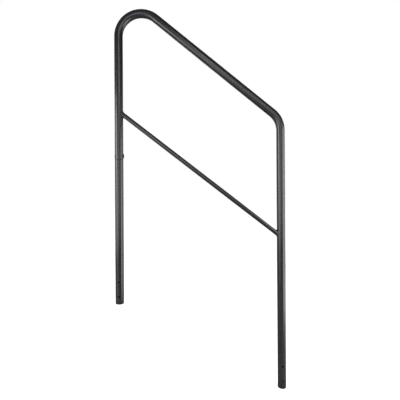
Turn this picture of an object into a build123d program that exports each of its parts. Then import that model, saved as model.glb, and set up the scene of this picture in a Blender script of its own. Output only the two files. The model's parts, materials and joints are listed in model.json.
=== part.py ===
from build123d import *
from math import radians, sqrt, tan
import os

# Pool handrail: a bent round tube on two legs, for the side of a flight of steps.
# The leg on the upper step is in two lengths, joined by a swaged end and one through-bolt.
# X runs from the upper-step leg to the lower-step leg, Y goes across the rail and Z is up.
# The origin is on the lower-step leg's axis, midway between its two fixing holes.

# Driving dimensions, in millimetres and degrees.
tube_diameter = 31.75
tube_wall = 1.65
bend_radius = 86.0  # of the tube's centre line
leg_spacing = 610.0  # between the legs' centre lines
lower_corner_height = 1009.0  # where rail and leg would cross, above the lower foot
rail_slope = 39.2  # below the horizontal
step_rise = 318.0  # from the lower foot up to the upper foot

brace_diameter = 17.0
brace_wall = 1.5
brace_lower_height = 567.5  # on the lower-step leg's centre line, above the lower foot
brace_slope = 37.9
weld_leg = 3.0

fixing_holes_per_foot = 2
fixing_hole_diameter = 7.0
fixing_hole_spacing = 55.0
first_hole_height = 29.0  # of the lowest hole of each foot, above that foot

leg_joint_height = 543.0  # of the seam, above the upper foot
seam_gap = 0.3
bolt_above_seam = 13.0
swage_length = 60.0
swage_clearance = 0.15
swage_taper = 5.0
swage_end_chamfer = 0.8
shoulder_height = 1.0

plug_flange = 3.0
plug_depth = 18.0
plug_wall = 2.2
plug_edge_radius = 1.8
rib_count = 3
rib_thickness = 1.2
first_rib_height = 2.7  # above the flange
rib_pitch = 4.5
rib_depth = 1.0
rib_clearance = 0.05

bolt_diameter = 5.9
bolt_length = 25.0
bolt_head_diameter = 16.0
bolt_head_height = 1.4
bolt_head_edge = 1.0
bolt_tip_chamfer = 0.8
socket_across_flats = 4.0
socket_depth = 2.6
washer_diameter = 18.5
washer_thickness = 0.6  # at the crest of the tube
nut_flange_diameter = 14.0
nut_flange_thickness = 0.6
nut_barrel_diameter = 8.0
nut_barrel_length = 18.0
nut_bore_depth = 15.0
bolt_hole_clearance = 0.35
thread_clearance = 0.05

# Places worked out from the dimensions above.
tube_radius = tube_diameter / 2
tube_inner_radius = tube_radius - tube_wall
brace_radius = brace_diameter / 2
lower_x = 0.0
upper_x = -leg_spacing
lower_foot_z = -(first_hole_height + fixing_hole_spacing / 2)
upper_foot_z = lower_foot_z + step_rise
lower_corner_z = lower_foot_z + lower_corner_height
upper_corner_z = lower_corner_z + leg_spacing * tan(radians(rail_slope))
brace_lower_z = lower_foot_z + brace_lower_height
brace_upper_z = brace_lower_z + leg_spacing * tan(radians(brace_slope))
seam_z = upper_foot_z + leg_joint_height
bolt_z = seam_z + bolt_above_seam
bolt_radius = bolt_diameter / 2
bolt_hole_radius = bolt_radius + bolt_hole_clearance
barrel_radius = nut_barrel_diameter / 2
barrel_hole_radius = barrel_radius + bolt_hole_clearance

# The bolt goes in on the side that faces the other leg, and the nut on the outer side.
bolt_side = Plane(origin=(upper_x + tube_radius, 0, bolt_z), x_dir=(0, 1, 0), z_dir=(1, 0, 0))
nut_side = Plane(origin=(upper_x - tube_radius, 0, bolt_z), x_dir=(0, 1, 0), z_dir=(-1, 0, 0))
joint_section = Plane(origin=(upper_x, 0, bolt_z))

# Both are longer than anything that meets a leg.
leg_cut_length = 4 * tube_diameter
weld_reach = 3 * brace_diameter

os.makedirs("parts", exist_ok=True)


def cut_fixing_holes(leg_x, foot_z):
    """Two holes across the leg, through both of its walls, near the foot."""
    with BuildSketch(Plane.XZ) as holes:
        for row in range(fixing_holes_per_foot):
            with Locations((leg_x, foot_z + first_hole_height + row * fixing_hole_spacing)):
                Circle(fixing_hole_diameter / 2)
    extrude(holes.sketch, amount=tube_diameter, both=True, mode=Mode.SUBTRACT)


def cut_bolt_holes():
    """The bolt's hole in one wall of the leg and the sleeve nut's in the other."""
    with BuildSketch(bolt_side) as bolt_hole:
        Circle(bolt_hole_radius)
    extrude(bolt_hole.sketch, amount=tube_radius, both=True, mode=Mode.SUBTRACT)
    with BuildSketch(nut_side) as nut_hole:
        Circle(barrel_hole_radius)
    extrude(nut_hole.sketch, amount=tube_radius, both=True, mode=Mode.SUBTRACT)


def cut_leg_shape(leg_x, height):
    """Takes away the round of a leg, so that what is left fits against it."""
    with BuildSketch(Plane(origin=(leg_x, 0, height))) as leg_section:
        Circle(tube_radius)
    extrude(leg_section.sketch, amount=leg_cut_length, both=True, mode=Mode.SUBTRACT)


# The rail: one tube from the seam, over both bends and down to the lower foot.
with BuildPart() as rail_tube:
    with BuildLine(Plane.XZ) as rail_line:
        FilletPolyline(
            (upper_x, seam_z + seam_gap),
            (upper_x, upper_corner_z),
            (lower_x, lower_corner_z),
            (lower_x, lower_foot_z + plug_flange),
            radius=bend_radius,
        )
    with BuildSketch(Plane(origin=(upper_x, 0, seam_z + seam_gap))):
        Circle(tube_radius)
        Circle(tube_inner_radius, mode=Mode.SUBTRACT)
    sweep()
    cut_fixing_holes(lower_x, lower_foot_z)
    cut_bolt_holes()
rail_tube.part.label = "rail_tube"
export_step(rail_tube.part, "parts/rail_tube.step")

# The lower length of the upper-step leg. Its swaged end slides up inside the rail tube.
swage_radius = tube_inner_radius - swage_clearance
with BuildPart() as upper_leg_tube:
    with BuildSketch(Plane(origin=(upper_x, 0, 0), x_dir=(1, 0, 0), z_dir=(0, -1, 0))):
        with BuildLine():
            Polyline(
                (tube_inner_radius, upper_foot_z + plug_flange),
                (tube_radius, upper_foot_z + plug_flange),
                (tube_radius, seam_z - shoulder_height),
                (tube_radius - shoulder_height / 2, seam_z),
                (swage_radius, seam_z),
                (swage_radius, seam_z + swage_length - swage_end_chamfer),
                (swage_radius - swage_end_chamfer, seam_z + swage_length),
                (swage_radius - tube_wall, seam_z + swage_length),
                (swage_radius - tube_wall, seam_z - shoulder_height),
                (tube_inner_radius, seam_z - shoulder_height - swage_taper),
                close=True,
            )
        make_face()
    revolve(axis=Axis((upper_x, 0, 0), (0, 0, 1)))
    cut_fixing_holes(upper_x, upper_foot_z)
    cut_bolt_holes()
upper_leg_tube.part.label = "upper_leg_tube"
export_step(upper_leg_tube.part, "parts/upper_leg_tube.step")

# The brace: a thinner straight tube below the rail, its ends coped to the round of the legs.
brace_top = Vector(upper_x, 0, brace_upper_z)
brace_bottom = Vector(lower_x, 0, brace_lower_z)
down_the_brace = (brace_bottom - brace_top).normalized()
brace_length = (brace_bottom - brace_top).length
with BuildPart() as cross_brace:
    with BuildSketch(Plane(origin=brace_top, z_dir=down_the_brace)):
        Circle(brace_radius)
        Circle(brace_radius - brace_wall, mode=Mode.SUBTRACT)
    extrude(amount=brace_length)
    cut_leg_shape(upper_x, brace_upper_z)
    cut_leg_shape(lower_x, brace_lower_z)
cross_brace.part.label = "cross_brace"
export_step(cross_brace.part, "parts/cross_brace.step")

# A fillet weld round each end of the brace: the corner between leg and brace, filled in.
brace_ends = (
    ("upper_brace_weld", brace_top, down_the_brace),
    ("lower_brace_weld", brace_bottom, -down_the_brace),
)
for node, end, away in brace_ends:
    with BuildPart() as weld:
        with BuildSketch(Plane(origin=end)):
            Circle(tube_radius)
        extrude(amount=weld_reach, both=True)
        with BuildSketch(Plane(origin=end, z_dir=away)):
            Circle(brace_radius)
        extrude(amount=weld_reach)
        corner = weld.edges().filter_by(GeomType.BSPLINE)
        chamfer(corner, length=weld_leg)
        with BuildSketch(Plane(origin=end, z_dir=away)):
            Circle(brace_radius)
        extrude(amount=weld_reach, mode=Mode.SUBTRACT)
        cut_leg_shape(end.X, end.Z)
    weld.part.label = node
    export_step(weld.part, f"parts/{node}.step")

# A ribbed plug closes each foot: a flange over the tube's end and a hollow ribbed body inside.
plug_body_radius = tube_inner_radius - rib_depth
feet = (
    ("upper_foot_plug", upper_x, upper_foot_z),
    ("lower_foot_plug", lower_x, lower_foot_z),
)
for node, leg_x, foot_z in feet:
    foot = Plane(origin=(leg_x, 0, foot_z))
    with BuildPart() as plug:
        with BuildSketch(foot):
            Circle(tube_radius)
        extrude(amount=plug_flange)
        fillet(plug.edges().sort_by(Axis.Z)[0], radius=plug_edge_radius)
        with BuildSketch(foot.offset(plug_flange)):
            Circle(plug_body_radius)
        extrude(amount=plug_depth)
        for rib in range(rib_count):
            with BuildSketch(foot.offset(plug_flange + first_rib_height + rib * rib_pitch)):
                Circle(tube_inner_radius - rib_clearance)
            extrude(amount=rib_thickness)
        with BuildSketch(foot.offset(plug_flange + plug_depth)):
            Circle(plug_body_radius - plug_wall)
        extrude(amount=-plug_depth, mode=Mode.SUBTRACT)
    plug.part.label = node
    export_step(plug.part, f"parts/{node}.step")

# The joint's bolt: a wide, low head with a hexagon socket.
under_head = bolt_side.offset(washer_thickness)
top_of_head = bolt_side.offset(washer_thickness + bolt_head_height)
with BuildPart() as joint_bolt:
    with BuildSketch(under_head):
        Circle(bolt_head_diameter / 2)
    extrude(amount=bolt_head_height)
    fillet(joint_bolt.edges().sort_by(Axis.X)[-1], radius=bolt_head_edge)
    with BuildSketch(under_head):
        Circle(bolt_radius)
    extrude(amount=-bolt_length)
    chamfer(joint_bolt.edges().sort_by(Axis.X)[0], length=bolt_tip_chamfer)
    with BuildSketch(top_of_head):
        RegularPolygon(radius=socket_across_flats / 2, side_count=6, major_radius=False)
    extrude(amount=-socket_depth, mode=Mode.SUBTRACT)
joint_bolt.part.label = "joint_bolt"
export_step(joint_bolt.part, "parts/joint_bolt.step")

# The washer under it: flat above, hollowed below to sit on the round of the leg.
washer_radius = washer_diameter / 2
washer_drop = tube_radius - sqrt(tube_radius**2 - washer_radius**2)
with BuildPart() as joint_saddle_washer:
    with BuildSketch(under_head):
        Circle(washer_radius)
        Circle(bolt_hole_radius, mode=Mode.SUBTRACT)
    extrude(amount=-(washer_thickness + washer_drop))
    cut_leg_shape(upper_x, bolt_z)
joint_saddle_washer.part.label = "joint_saddle_washer"
export_step(joint_saddle_washer.part, "parts/joint_saddle_washer.step")

# The sleeve nut: a thin flange that follows the leg, and a threaded barrel through its wall.
with BuildPart() as joint_sleeve_nut:
    with BuildSketch(nut_side):
        Circle(nut_flange_diameter / 2)
    extrude(amount=tube_wall, both=True)
    with BuildSketch(joint_section):
        Circle(tube_radius + nut_flange_thickness)
    extrude(amount=nut_flange_diameter, both=True, mode=Mode.INTERSECT)
    cut_leg_shape(upper_x, bolt_z)
    with BuildSketch(nut_side.offset(nut_flange_thickness / 2)):
        Circle(barrel_radius)
    extrude(amount=-(nut_barrel_length + nut_flange_thickness / 2))
    with BuildSketch(nut_side.offset(-nut_barrel_length)):
        Circle(bolt_radius + thread_clearance)
    extrude(amount=nut_bore_depth, mode=Mode.SUBTRACT)
joint_sleeve_nut.part.label = "joint_sleeve_nut"
export_step(joint_sleeve_nut.part, "parts/joint_sleeve_nut.step")
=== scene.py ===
import json
from math import atan2, ceil, cos, pi, radians, sin, sqrt, tan

import bmesh
import bpy
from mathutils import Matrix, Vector


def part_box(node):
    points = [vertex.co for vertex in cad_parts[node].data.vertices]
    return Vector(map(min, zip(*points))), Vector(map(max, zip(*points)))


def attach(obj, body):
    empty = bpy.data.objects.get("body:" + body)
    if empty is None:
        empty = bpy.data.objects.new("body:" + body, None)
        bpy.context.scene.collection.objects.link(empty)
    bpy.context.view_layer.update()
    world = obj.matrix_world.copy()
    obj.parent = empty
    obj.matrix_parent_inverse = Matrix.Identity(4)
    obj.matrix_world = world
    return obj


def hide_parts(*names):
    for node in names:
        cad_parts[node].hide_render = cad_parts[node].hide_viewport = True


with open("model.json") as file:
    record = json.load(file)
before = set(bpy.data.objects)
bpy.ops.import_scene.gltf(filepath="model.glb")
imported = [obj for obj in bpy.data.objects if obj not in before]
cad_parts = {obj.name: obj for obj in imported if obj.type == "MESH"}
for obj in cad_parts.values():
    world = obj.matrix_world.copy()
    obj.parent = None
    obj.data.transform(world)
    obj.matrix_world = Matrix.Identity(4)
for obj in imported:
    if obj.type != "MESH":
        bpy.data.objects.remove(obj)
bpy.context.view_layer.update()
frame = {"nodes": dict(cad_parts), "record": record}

Y_AXIS, Z_AXIS = Vector((0, 1, 0)), Vector((0, 0, 1))

# ---------------------------------------------------------------- sizes, in metres

# Read from the CAD model.
lower_plug_low, lower_plug_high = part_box("lower_foot_plug")
upper_plug_low, upper_plug_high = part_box("upper_foot_plug")
bolt_low, bolt_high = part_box("joint_bolt")
brace_low, brace_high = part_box("cross_brace")
LOWER_X = (lower_plug_low.x + lower_plug_high.x) / 2
UPPER_X = (upper_plug_low.x + upper_plug_high.x) / 2
LOWER_FOOT_Z = lower_plug_low.z
UPPER_FOOT_Z = upper_plug_low.z
LEG_SPACING = LOWER_X - UPPER_X
TUBE_RADIUS = (lower_plug_high.y - lower_plug_low.y) / 2
BRACE_RADIUS = (brace_high.y - brace_low.y) / 2
BOLT_Z = (bolt_low.z + bolt_high.z) / 2

# The rest of the driving dimensions, as the CAD source has them.
TUBE_WALL = 0.00165
BEND_RADIUS = 0.086
LOWER_CORNER_HEIGHT = 1.009
RAIL_SLOPE = radians(39.2)
BRACE_WALL = 0.0015
BRACE_LOWER_HEIGHT = 0.5675
BRACE_SLOPE = radians(37.9)
WELD_LEG = 0.003
BOLT_ABOVE_SEAM = 0.013
SEAM_GAP = 0.0003
SWAGE_LENGTH = 0.060
SWAGE_CLEARANCE = 0.00015
SWAGE_TAPER = 0.005
SHOULDER_HEIGHT = 0.001
BOLT_HOLE_RADIUS = 0.0033
NUT_HOLE_RADIUS = 0.00435
PLUG_FLANGE = 0.003

TUBE_INNER_RADIUS = TUBE_RADIUS - TUBE_WALL
LOWER_CORNER_Z = LOWER_FOOT_Z + LOWER_CORNER_HEIGHT
UPPER_CORNER_Z = LOWER_CORNER_Z + LEG_SPACING * tan(RAIL_SLOPE)
BRACE_LOWER_Z = LOWER_FOOT_Z + BRACE_LOWER_HEIGHT
BRACE_UPPER_Z = BRACE_LOWER_Z + LEG_SPACING * tan(BRACE_SLOPE)
SEAM_Z = BOLT_Z - BOLT_ABOVE_SEAM

# How finely the meshes are divided.
AROUND = 96  # points round a tube
ARC_STEP = radians(2)
PATCH_CELLS = 8  # from a hole's centre to the edge of its patch
OUTER_PATCH_PARTS = (0.3, 0.6, 0.85, 1.0)  # where its rings lie, from the patch's edge to the hole
INNER_PATCH_PARTS = (0.15, 0.4, 0.7)  # and on the inner wall, from the hole to the patch's edge
LIP_STEPS = 4
SHOULDER_STEPS = 6
SHARP_ANGLE = radians(50)  # edges sharper than this aren't smoothed over

# Rounded edges.
EDGE_ROUND = 0.0004  # of the cut tube ends
HOLE_ROUND = 0.00035
SMALL_PART_ROUND = 0.0002
SMALL_PART_ANGLE = radians(40)  # edges sharper than this are rounded

# ---------------------------------------------------------------- mesh helpers


def skin(bm, rings, closed=False):
    """Quads between each ring of points and the next one."""
    pairs = list(zip(rings, rings[1:]))
    if closed:
        pairs.append((rings[-1], rings[0]))
    for ring, following in pairs:
        count = len(ring)
        for j in range(count):
            k = (j + 1) % count
            bm.faces.new((ring[j], ring[k], following[k], following[j]))


def round_ring(bm, centre, side, radius, count=AROUND):
    """Points round a centre, in the plane of side and the Y axis."""
    return [
        bm.verts.new(centre + radius * (cos(a) * side + sin(a) * Y_AXIS))
        for a in (2 * pi * j / count for j in range(count))
    ]


def end_lip(bm, outer_ring, inner_ring, centre, side, outward, outer_radius, inner_radius):
    """Joins a tube's outer and inner wall over its end, with both edges rounded."""
    rings = [outer_ring]
    for i in range(1, LIP_STEPS + 1):
        a = pi / 2 * i / LIP_STEPS
        drop, reach = EDGE_ROUND * (1 - cos(a)), EDGE_ROUND * sin(a)
        rings.append(round_ring(bm, centre + reach * outward, side, outer_radius - drop))
    for i in range(LIP_STEPS, 0, -1):
        a = pi / 2 * i / LIP_STEPS
        drop, reach = EDGE_ROUND * (1 - cos(a)), EDGE_ROUND * sin(a)
        rings.append(round_ring(bm, centre + reach * outward, side, inner_radius + drop))
    rings.append(inner_ring)
    skin(bm, rings)


def patch_edge(rings, first_row, first_column):
    """The points round a square patch of a tube's wall, in order."""
    side = 2 * PATCH_CELLS
    places = [(0, j) for j in range(side)] + [(i, side) for i in range(side)]
    places += [(side, side - j) for j in range(side)] + [(side - i, 0) for i in range(side)]
    return [rings[first_row + i][(first_column + j) % AROUND] for i, j in places]


def drilled_hole(bm, outer_edge, inner_edge, centre, along, across, out, outer_radius, inner_radius, radius):
    """Fills a patch of both walls with a round hole along out, its outer edge rounded.

    Points are given by p across the tube, q along it and their height over its centre line.
    """

    def place(p, q, height):
        return bm.verts.new(centre + p * across + q * along + height * out)

    def spot(vertex):
        offset = vertex.co - centre
        return offset.dot(across), offset.dot(along)

    corners = [spot(vertex) for vertex in outer_edge]
    turns = [atan2(q, p) for p, q in corners]
    rings = [outer_edge]
    mouth = radius + HOLE_ROUND
    for part in OUTER_PATCH_PARTS:
        ring = []
        for (p, q), turn in zip(corners, turns):
            p = p + (mouth * cos(turn) - p) * part
            q = q + (mouth * sin(turn) - q) * part
            ring.append(place(p, q, sqrt(outer_radius**2 - p * p)))
        rings.append(ring)
    for i in range(1, LIP_STEPS + 1):
        a = pi / 2 * i / LIP_STEPS
        r = radius + HOLE_ROUND * (1 - sin(a))
        depth = HOLE_ROUND * (1 - cos(a))
        rings.append([
            place(r * cos(t), r * sin(t), sqrt(outer_radius**2 - (r * cos(t)) ** 2) - depth)
            for t in turns
        ])
    rings.append([
        place(radius * cos(t), radius * sin(t), sqrt(inner_radius**2 - (radius * cos(t)) ** 2))
        for t in turns
    ])
    inner_corners = [spot(vertex) for vertex in inner_edge]
    for part in INNER_PATCH_PARTS:
        ring = []
        for (p, q), turn in zip(inner_corners, turns):
            p = radius * cos(turn) + (p - radius * cos(turn)) * part
            q = radius * sin(turn) + (q - radius * sin(turn)) * part
            ring.append(place(p, q, sqrt(inner_radius**2 - p * p)))
        rings.append(ring)
    rings.append(inner_edge)
    skin(bm, rings)


def tube_walls(bm, stations, holes):
    """A tube along stations of (centre, direction, outer radius, inner radius).

    Each hole is (row of its centre, column of its centre, radius), both walls drilled.
    """
    sides = [direction.cross(Y_AXIS) for _, direction, _, _ in stations]
    outer = [round_ring(bm, s[0], side, s[2]) for s, side in zip(stations, sides)]
    inner = [round_ring(bm, s[0], side, s[3]) for s, side in zip(stations, sides)]
    drilled = set()
    for row, column, _ in holes:
        for i in range(-PATCH_CELLS, PATCH_CELLS):
            for j in range(-PATCH_CELLS, PATCH_CELLS):
                drilled.add((row + i, (column + j) % AROUND))
    for i in range(len(stations) - 1):
        for j in range(AROUND):
            if (i, j) in drilled:
                continue
            k = (j + 1) % AROUND
            for wall in (outer, inner):
                bm.faces.new((wall[i][j], wall[i][k], wall[i + 1][k], wall[i + 1][j]))
    for row, column, radius in holes:
        centre, direction, outer_radius, inner_radius = stations[row]
        a = 2 * pi * column / AROUND
        out = cos(a) * sides[row] + sin(a) * Y_AXIS
        across = cos(a) * Y_AXIS - sin(a) * sides[row]
        edges = [patch_edge(wall, row - PATCH_CELLS, column - PATCH_CELLS) for wall in (outer, inner)]
        drilled_hole(bm, *edges, centre, direction, across, out, outer_radius, inner_radius, radius)
    for end, outward in ((0, -stations[0][1]), (-1, stations[-1][1])):
        centre, _, outer_radius, inner_radius = stations[end]
        end_lip(bm, outer[end], inner[end], centre, sides[end], outward, outer_radius, inner_radius)
    bmesh.ops.delete(bm, geom=[v for v in bm.verts if not v.link_faces], context="VERTS")


def finished_piece(name, bm, material, node):
    """Makes an object of the mesh, which stands for a CAD node and rides where it does."""
    bmesh.ops.recalc_face_normals(bm, faces=bm.faces)
    mesh = bpy.data.meshes.new(name)
    bm.to_mesh(mesh)
    bm.free()
    mesh.shade_smooth()
    mesh.set_sharp_from_angle(angle=SHARP_ANGLE)
    mesh.materials.append(material)
    piece = bpy.data.objects.new(name, mesh)
    bpy.context.scene.collection.objects.link(piece)
    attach(piece, "root")
    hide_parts(node)
    return piece


# ---------------------------------------------------------------- materials


# Noise scales are in waves per metre and bump heights in metres. Colours are linear.
COAT_PEEL_SCALE, COAT_PEEL_HEIGHT = 420.0, 0.00002
COAT_GRAIN_SCALE, COAT_GRAIN_HEIGHT = 2600.0, 0.0000015
COAT_CLOUD_SCALE = 14.0
COAT_ROUGHNESS = (0.24, 0.29)
COAT_DARK, COAT_LIGHT = (0.0034, 0.0034, 0.0038), (0.0058, 0.0058, 0.0064)
COAT_WEAR_WIDTH = 0.0006
COAT_RUBBED, COAT_RUBBED_ROUGHNESS = (0.022, 0.022, 0.023), 0.2

STEEL_MOTTLE_SCALE, STEEL_MOTTLE_HEIGHT = 900.0, 0.00003
STEEL_ROUGHNESS = (0.3, 0.46)
STEEL_DARK, STEEL_LIGHT = (0.02, 0.02, 0.021), (0.045, 0.044, 0.044)
STEEL_METALLIC = 0.6

PLASTIC_GRAIN_SCALE, PLASTIC_GRAIN_HEIGHT = 3200.0, 0.00003
PLASTIC_CLOUD_SCALE = 60.0
PLASTIC_ROUGHNESS = (0.5, 0.62)
PLASTIC_DARK, PLASTIC_LIGHT = (0.008, 0.008, 0.008), (0.013, 0.013, 0.013)

# The ranges of a value that are spread over the whole of what it drives.
NOISE_MIDDLE = (0.3, 0.7)
NOISE_CORE = (0.35, 0.65)
WEAR_PATCHES = (0.42, 0.62)
LEAST_WEAR = 0.15
EDGE_LIKENESS = (0.985, 0.90)  # of the true and the rounded normal, from no edge to a full one


def node_material(name):
    """A new material with its nodes, links and principled shader."""
    material = bpy.data.materials.new(name)
    material.use_nodes = True
    nodes, links = material.node_tree.nodes, material.node_tree.links
    return material, nodes, links, nodes["Principled BSDF"]


def object_noise(nodes, links, scale, detail=2.0):
    """Noise in object space."""
    coordinates = nodes.new("ShaderNodeTexCoord")
    noise = nodes.new("ShaderNodeTexNoise")
    noise.inputs["Scale"].default_value = scale
    noise.inputs["Detail"].default_value = detail
    links.new(coordinates.outputs["Object"], noise.inputs["Vector"])
    return noise.outputs["Fac"]


def remapped(nodes, links, value, given, wanted=(0.0, 1.0)):
    """A value whose given range is spread over the wanted one."""
    node = nodes.new("ShaderNodeMapRange")
    node.inputs["From Min"].default_value, node.inputs["From Max"].default_value = given
    node.inputs["To Min"].default_value, node.inputs["To Max"].default_value = wanted
    links.new(value, node.inputs["Value"])
    return node.outputs["Result"]


def colour_mix(nodes, links, factor, first, second):
    """A colour between two others, by factor. Each is three numbers or a socket."""
    mix = nodes.new("ShaderNodeMix")
    mix.data_type = "RGBA"
    for name, colour in (("A", first), ("B", second)):
        if isinstance(colour, tuple):
            mix.inputs[name].default_value = (*colour, 1)
        else:
            links.new(colour, mix.inputs[name])
    links.new(factor, mix.inputs["Factor"])
    return mix.outputs["Result"]


def bumped(nodes, links, height, distance, under=None):
    """A bump from a height, on top of the one under it."""
    bump = nodes.new("ShaderNodeBump")
    bump.inputs["Distance"].default_value = distance
    bump.inputs["Strength"].default_value = 1.0
    links.new(height, bump.inputs["Height"])
    if under:
        links.new(under, bump.inputs["Normal"])
    return bump.outputs["Normal"]


def worn_edges(nodes, links, radius, patchiness):
    """1 on sharp edges where the patchy noise lets it show, and 0 on open faces."""
    rounded = nodes.new("ShaderNodeBevel")
    rounded.inputs["Radius"].default_value = radius
    geometry = nodes.new("ShaderNodeNewGeometry")
    likeness = nodes.new("ShaderNodeVectorMath")
    likeness.operation = "DOT_PRODUCT"
    links.new(rounded.outputs["Normal"], likeness.inputs[0])
    links.new(geometry.outputs["Normal"], likeness.inputs[1])
    edge = remapped(nodes, links, likeness.outputs["Value"], EDGE_LIKENESS)
    patches = remapped(nodes, links, patchiness, WEAR_PATCHES, (LEAST_WEAR, 1.0))
    wear = nodes.new("ShaderNodeMath")
    wear.operation = "MULTIPLY"
    links.new(edge, wear.inputs[0])
    links.new(patches, wear.inputs[1])
    return wear.outputs["Value"]


def powder_coat():
    """Satin powder coat: orange peel, a fine grain, uneven gloss and edges a little rubbed."""
    material, nodes, links, shader = node_material("satin_powder_coat")
    peel = object_noise(nodes, links, COAT_PEEL_SCALE, detail=1.0)
    grain = object_noise(nodes, links, COAT_GRAIN_SCALE)
    cloud = object_noise(nodes, links, COAT_CLOUD_SCALE, detail=3.0)
    normal = bumped(nodes, links, peel, COAT_PEEL_HEIGHT)
    normal = bumped(nodes, links, grain, COAT_GRAIN_HEIGHT, under=normal)
    links.new(normal, shader.inputs["Normal"])
    roughness = remapped(nodes, links, cloud, NOISE_CORE, COAT_ROUGHNESS)
    wear = worn_edges(nodes, links, COAT_WEAR_WIDTH, cloud)
    rubbed = nodes.new("ShaderNodeMix")
    links.new(wear, rubbed.inputs["Factor"])
    links.new(roughness, rubbed.inputs["A"])
    rubbed.inputs["B"].default_value = COAT_RUBBED_ROUGHNESS
    links.new(rubbed.outputs["Result"], shader.inputs["Roughness"])
    tone = remapped(nodes, links, cloud, NOISE_MIDDLE)
    colour = colour_mix(nodes, links, tone, COAT_DARK, COAT_LIGHT)
    worn = colour_mix(nodes, links, wear, colour, COAT_RUBBED)
    links.new(worn, shader.inputs["Base Color"])
    return material


def black_oxide():
    """Black-oxide steel, mottled in tone and gloss."""
    material, nodes, links, shader = node_material("black_oxide")
    mottle = object_noise(nodes, links, STEEL_MOTTLE_SCALE, detail=3.0)
    links.new(bumped(nodes, links, mottle, STEEL_MOTTLE_HEIGHT), shader.inputs["Normal"])
    roughness = remapped(nodes, links, mottle, NOISE_MIDDLE, STEEL_ROUGHNESS)
    links.new(roughness, shader.inputs["Roughness"])
    colour = colour_mix(nodes, links, mottle, STEEL_DARK, STEEL_LIGHT)
    links.new(colour, shader.inputs["Base Color"])
    shader.inputs["Metallic"].default_value = STEEL_METALLIC
    return material


def moulded_plastic():
    """Moulded black plastic with a fine matte grain."""
    material, nodes, links, shader = node_material("moulded_plastic")
    grain = object_noise(nodes, links, PLASTIC_GRAIN_SCALE)
    cloud = object_noise(nodes, links, PLASTIC_CLOUD_SCALE)
    links.new(bumped(nodes, links, grain, PLASTIC_GRAIN_HEIGHT), shader.inputs["Normal"])
    roughness = remapped(nodes, links, cloud, NOISE_MIDDLE, PLASTIC_ROUGHNESS)
    links.new(roughness, shader.inputs["Roughness"])
    colour = colour_mix(nodes, links, cloud, PLASTIC_DARK, PLASTIC_LIGHT)
    links.new(colour, shader.inputs["Base Color"])
    return material


COAT = powder_coat()
STEEL = black_oxide()
PLASTIC = moulded_plastic()

# ---------------------------------------------------------------- the tubes


def bent_line(corners, radius):
    """(centre, direction) along the bends of a line through the corners, ends left out."""
    places = []
    for before, corner, after in zip(corners, corners[1:], corners[2:]):
        way_in, way_out = (corner - before).normalized(), (after - corner).normalized()
        turn = way_in.angle(way_out)
        inward = (way_out - way_in * cos(turn)) / sin(turn)
        start = corner - way_in * radius * tan(turn / 2)
        steps = ceil(turn / ARC_STEP)
        for i in range(steps + 1):
            a = turn * i / steps
            centre = start + radius * (sin(a) * way_in + (1 - cos(a)) * inward)
            places.append((centre, cos(a) * way_in + sin(a) * inward))
    return places


def drilled_rows(height):
    """The heights of the rows through a hole's patch, from the lowest to the highest."""
    cell = TUBE_RADIUS * sin(2 * pi * PATCH_CELLS / AROUND) / PATCH_CELLS
    return [height + cell * i for i in range(-PATCH_CELLS, PATCH_CELLS + 1)]


def fixing_holes(mount_name):
    """The heights of a foot's fixing holes, lowest first, and their radius."""
    mount = next(m for m in frame["record"]["mounts"] if m["name"] == mount_name)
    dims = mount["dims"]
    spacing = dims["spacing_y_mm"] / 1000
    middle = mount["pos_m"][2]
    heights = [middle + spacing * (i - (dims["count"] - 1) / 2) for i in range(dims["count"])]
    return heights, dims["hole_r_mm"] / 1000


FACING_SIDES = (AROUND // 4, 3 * AROUND // 4)  # the columns on the +Y and -Y sides


def rail():
    """The bent rail, from the seam on the upper-step leg down to the lower foot."""
    wall = (TUBE_RADIUS, TUBE_INNER_RADIUS)
    stations = [(Vector((UPPER_X, 0, SEAM_Z + SEAM_GAP + EDGE_ROUND)), Z_AXIS, *wall)]
    holes = []
    for z in drilled_rows(BOLT_Z):
        stations.append((Vector((UPPER_X, 0, z)), Z_AXIS, *wall))
    bolt_row = len(stations) - 1 - PATCH_CELLS
    holes.append((bolt_row, AROUND // 2, BOLT_HOLE_RADIUS))
    holes.append((bolt_row, 0, NUT_HOLE_RADIUS))
    corners = [
        Vector((UPPER_X, 0, SEAM_Z)),
        Vector((UPPER_X, 0, UPPER_CORNER_Z)),
        Vector((LOWER_X, 0, LOWER_CORNER_Z)),
        Vector((LOWER_X, 0, LOWER_FOOT_Z)),
    ]
    stations += [(centre, way, *wall) for centre, way in bent_line(corners, BEND_RADIUS)]
    heights, radius = fixing_holes("lower_foot_holes")
    for height in reversed(heights):
        for z in reversed(drilled_rows(height)):
            stations.append((Vector((LOWER_X, 0, z)), -Z_AXIS, *wall))
        row = len(stations) - 1 - PATCH_CELLS
        holes += [(row, column, radius) for column in FACING_SIDES]
    end = LOWER_FOOT_Z + PLUG_FLANGE + EDGE_ROUND
    stations.append((Vector((LOWER_X, 0, end)), -Z_AXIS, *wall))
    bm = bmesh.new()
    tube_walls(bm, stations, holes)
    return finished_piece("bent_rail", bm, COAT, "rail_tube")


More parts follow.
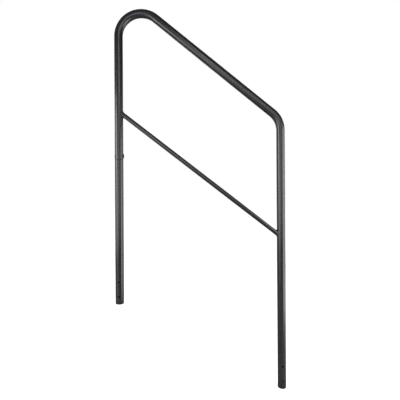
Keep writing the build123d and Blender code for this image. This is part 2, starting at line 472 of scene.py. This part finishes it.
def upper_leg():
    """The lower length of the upper-step leg, with its shoulder and swaged end."""
    swage_outer = TUBE_INNER_RADIUS - SWAGE_CLEARANCE
    swage_inner = swage_outer - TUBE_WALL
    wall = (TUBE_RADIUS, TUBE_INNER_RADIUS)
    rows = [(UPPER_FOOT_Z + PLUG_FLANGE + EDGE_ROUND, *wall)]
    holes = []
    heights, radius = fixing_holes("upper_foot_holes")
    for height in heights:
        rows += [(z, *wall) for z in drilled_rows(height)]
        row = len(rows) - 1 - PATCH_CELLS
        holes += [(row, column, radius) for column in FACING_SIDES]
    shoulder = SEAM_Z - SHOULDER_HEIGHT
    rows.append((shoulder - SWAGE_TAPER, *wall))
    rows.append((shoulder, TUBE_RADIUS, swage_inner))
    for i in range(1, SHOULDER_STEPS + 1):
        a = pi / 2 * i / SHOULDER_STEPS
        z = shoulder + SHOULDER_HEIGHT * sin(a)
        rows.append((z, TUBE_RADIUS - SHOULDER_HEIGHT / 2 * (1 - cos(a)), swage_inner))
    rows.append((SEAM_Z, swage_outer, swage_inner))
    rows += [(z, swage_outer, swage_inner) for z in drilled_rows(BOLT_Z)]
    bolt_row = len(rows) - 1 - PATCH_CELLS
    holes.append((bolt_row, AROUND // 2, BOLT_HOLE_RADIUS))
    holes.append((bolt_row, 0, NUT_HOLE_RADIUS))
    rows.append((SEAM_Z + SWAGE_LENGTH - EDGE_ROUND, swage_outer, swage_inner))
    stations = [(Vector((UPPER_X, 0, z)), Z_AXIS, outer, inner) for z, outer, inner in rows]
    bm = bmesh.new()
    tube_walls(bm, stations, holes)
    return finished_piece("upper_leg", bm, COAT, "upper_leg_tube")


# ---------------------------------------------------------------- the brace and its welds

BRACE_TOP = Vector((UPPER_X, 0, BRACE_UPPER_Z))
BRACE_BOTTOM = Vector((LOWER_X, 0, BRACE_LOWER_Z))
DOWN_THE_BRACE = (BRACE_BOTTOM - BRACE_TOP).normalized()
BRACE_SIDE = DOWN_THE_BRACE.cross(Y_AXIS)


def on_leg(centre, away, angle, radius):
    """Where the line along the brace at this angle and radius meets the leg's surface."""
    start = centre + radius * (cos(angle) * BRACE_SIDE + sin(angle) * Y_AXIS)
    reach = sqrt(TUBE_RADIUS**2 - start.y**2)
    wanted_x = centre.x + (reach if away.x > 0 else -reach)
    return start + away * ((wanted_x - start.x) / away.x)


def brace():
    """The brace: a straight tube with both ends coped to the legs."""
    bm = bmesh.new()
    rings = []
    for radius, ends in (
        (BRACE_RADIUS, ((BRACE_TOP, DOWN_THE_BRACE), (BRACE_BOTTOM, -DOWN_THE_BRACE))),
        (BRACE_RADIUS - BRACE_WALL, ((BRACE_BOTTOM, -DOWN_THE_BRACE), (BRACE_TOP, DOWN_THE_BRACE))),
    ):
        for centre, away in ends:
            angles = (2 * pi * j / AROUND for j in range(AROUND))
            rings.append([bm.verts.new(on_leg(centre, away, a, radius)) for a in angles])
    skin(bm, rings, closed=True)
    return finished_piece("brace", bm, COAT, "cross_brace")


BEAD_STEPS = 256  # round the joint
BEAD_PROFILE = 9  # across the bead
BEAD_RIPPLES = 30
BEAD_CROWN = 0.00035
RIPPLE_HEIGHT = 0.00014
RIPPLE_LAG = 1.6  # radians, by which the middle of a ripple trails its ends
RIPPLE_BLUNTNESS = 0.7  # below 1 gives round humps with narrow valleys
TOE_SINK = 0.00006
ROOT_SINK = 0.0004


def weld_bead(name, node, centre, away):
    """A rippled fillet weld round one end of the brace."""
    bm = bmesh.new()
    rings = []
    for step in range(BEAD_STEPS):
        angle = 2 * pi * step / BEAD_STEPS
        brace_out = cos(angle) * BRACE_SIDE + sin(angle) * Y_AXIS
        root = on_leg(centre, away, angle, BRACE_RADIUS)
        leg_out = Vector((root.x - centre.x, root.y, 0)).normalized()
        along_leg = (brace_out - brace_out.dot(leg_out) * leg_out).normalized()
        brace_toe = root + WELD_LEG * away
        leg_toe = root + WELD_LEG * along_leg
        flat = Vector((leg_toe.x - centre.x, leg_toe.y, 0))
        flat = flat.normalized() * TUBE_RADIUS
        leg_toe = Vector((centre.x + flat.x, flat.y, leg_toe.z))
        outward = (leg_out + brace_out).normalized()
        ring = []
        for i in range(BEAD_PROFILE):
            t = i / (BEAD_PROFILE - 1)
            hump = 4 * t * (1 - t)
            phase = BEAD_RIPPLES * angle + RIPPLE_LAG * hump
            ripple = RIPPLE_HEIGHT * abs(sin(phase / 2)) ** RIPPLE_BLUNTNESS * hump
            lift = BEAD_CROWN * hump + ripple - TOE_SINK * (1 - hump)
            ring.append(bm.verts.new(brace_toe.lerp(leg_toe, t) + lift * outward))
        ring.append(bm.verts.new(root - ROOT_SINK * outward))
        rings.append(ring)
    skin(bm, rings, closed=True)
    return finished_piece(name, bm, COAT, node)


rail()
upper_leg()
brace()
weld_bead("upper_bead", "upper_brace_weld", BRACE_TOP, DOWN_THE_BRACE)
weld_bead("lower_bead", "lower_brace_weld", BRACE_BOTTOM, -DOWN_THE_BRACE)

# The small parts keep their CAD meshes, with their edges rounded.
for node, material in (
    ("upper_foot_plug", PLASTIC),
    ("lower_foot_plug", PLASTIC),
    ("joint_saddle_washer", PLASTIC),
    ("joint_bolt", STEEL),
    ("joint_sleeve_nut", STEEL),
):
    part = frame["nodes"][node]
    part.data.materials.clear()
    part.data.materials.append(material)
    rounding = part.modifiers.new("rounded_edges", "BEVEL")
    rounding.width = SMALL_PART_ROUND
    rounding.segments = 3
    rounding.limit_method = "ANGLE"
    rounding.angle_limit = SMALL_PART_ANGLE
    rounding.harden_normals = True

# ---------------------------------------------------------------- the studio

FLOOR_SIZE = 30.0
FLOOR_GREY = (0.5, 0.5, 0.5, 1)
FLOOR_GLOW = 1.0
FRONT_WALL, BACK_WALL = 0.3, 0.05  # strength of the world as light
WALL_BLEND = (-0.3, 0.3)  # from the front to the back, as the Y of a direction
MIDDLE_X = (LOWER_X + UPPER_X) / 2
COOL_WHITE = (1.0, 0.96, 1.16)


def studio_floor():
    """A plain pale floor under the lower foot. It glows for the camera only."""
    mesh = bpy.data.meshes.new("studio_floor")
    half = FLOOR_SIZE / 2
    corners = [(-half, -half), (half, -half), (half, half), (-half, half)]
    mesh.from_pydata([(x, y, LOWER_FOOT_Z) for x, y in corners], [], [(0, 1, 2, 3)])
    material, nodes, links, shader = node_material("pale_floor")
    shader.inputs["Base Color"].default_value = FLOOR_GREY
    shader.inputs["Roughness"].default_value = 1.0
    shader.inputs["Specular IOR Level"].default_value = 0.0
    shader.inputs["Emission Color"].default_value = (1, 1, 1, 1)
    glow = nodes.new("ShaderNodeMapRange")
    glow.inputs["To Max"].default_value = FLOOR_GLOW
    path = nodes.new("ShaderNodeLightPath")
    links.new(path.outputs["Is Camera Ray"], glow.inputs["Value"])
    links.new(glow.outputs["Result"], shader.inputs["Emission Strength"])
    mesh.materials.append(material)
    floor = bpy.data.objects.new("studio_floor", mesh)
    bpy.context.scene.collection.objects.link(floor)


def softbox(name, place, width, height, radiance, target=None, colour=(1, 1, 1)):
    """An area light of that radiance. It faces the rail at its own height, or the target."""
    light = bpy.data.lights.new(name, "AREA")
    light.shape = "RECTANGLE"
    light.size, light.size_y = width, height
    light.energy = radiance * pi * width * height
    light.color = colour
    lamp = bpy.data.objects.new(name, light)
    place = Vector(place)
    target = Vector(target) if target else Vector((MIDDLE_X, 0, place.z))
    lamp.location = place
    lamp.rotation_mode = "QUATERNION"
    lamp.rotation_quaternion = (target - place).to_track_quat("-Z", "Y")
    bpy.context.scene.collection.objects.link(lamp)


def white_world():
    """A surround that is white to the camera. As light it is dim in front and dark behind."""
    world = bpy.data.worlds.new("studio")
    bpy.context.scene.world = world
    world.use_nodes = True
    nodes, links = world.node_tree.nodes, world.node_tree.links
    background = nodes["Background"]
    background.inputs["Color"].default_value = (1, 1, 1, 1)
    coordinates = nodes.new("ShaderNodeTexCoord")
    parts = nodes.new("ShaderNodeSeparateXYZ")
    links.new(coordinates.outputs["Generated"], parts.inputs["Vector"])
    dim = remapped(nodes, links, parts.outputs["Y"], WALL_BLEND, (FRONT_WALL, BACK_WALL))
    path = nodes.new("ShaderNodeLightPath")
    strength = nodes.new("ShaderNodeMix")
    strength.inputs["B"].default_value = 1.0
    links.new(path.outputs["Is Camera Ray"], strength.inputs["Factor"])
    links.new(dim, strength.inputs["A"])
    links.new(strength.outputs["Result"], background.inputs["Strength"])


studio_floor()
white_world()
softbox("left_panel", (-2.03, -0.71, 1.12), width=1.53, height=0.63, radiance=6.7)
softbox("low_left_panel", (-1.81, -1.03, 0.48), width=2.3, height=0.63, radiance=3.9)
softbox("left_floor_panel", (-1.9, -1.0, -0.03), 1.6, 0.7, radiance=1.2, target=(-1.9, -1.0, 1.0))
softbox("right_panel", (0.60, -0.41, 0.53), width=0.62, height=1.16, radiance=5.4)
softbox("far_right_panel", (0.66, 0.21, 0.53), width=0.62, height=1.16, radiance=1.7)
softbox("high_front_panel", (-0.19, -1.77, 1.85), width=0.6, height=0.8, radiance=3.4)
softbox("high_right_panel", (0.54, -1.60, 1.65), width=0.3, height=0.4, radiance=7.0)
softbox("front_panel", (-0.60, -2.15, 0.9), width=0.8, height=1.2, radiance=2.8, colour=COOL_WHITE)
softbox("wide_front_panel", (0.57, -1.86, 0.9), width=1.6, height=1.2, radiance=0.8, colour=COOL_WHITE)
softbox("back_right_panel", (1.3, 1.2, 0.9), width=1.2, height=1.6, radiance=1.8)
softbox("back_left_panel", (-1.6, 1.9, 0.9), width=0.8, height=1.6, radiance=2.0)

CAMERA_LENS, CAMERA_SENSOR = 31.5, 36.0  # mm
CAMERA_SHIFT = (0.025, -0.025)
CAMERA_PLACE = (-0.343, -1.321, 0.6885)
CAMERA_ROLL = radians(0.3)

camera_data = bpy.data.cameras.new("camera")
camera_data.lens = CAMERA_LENS
camera_data.sensor_width = CAMERA_SENSOR
camera_data.shift_x, camera_data.shift_y = CAMERA_SHIFT
camera = bpy.data.objects.new("camera", camera_data)
camera.location = CAMERA_PLACE
camera.rotation_euler = (radians(90), CAMERA_ROLL, 0)
bpy.context.scene.collection.objects.link(camera)
bpy.context.scene.camera = camera
bpy.context.scene.view_settings.view_transform = "Standard"
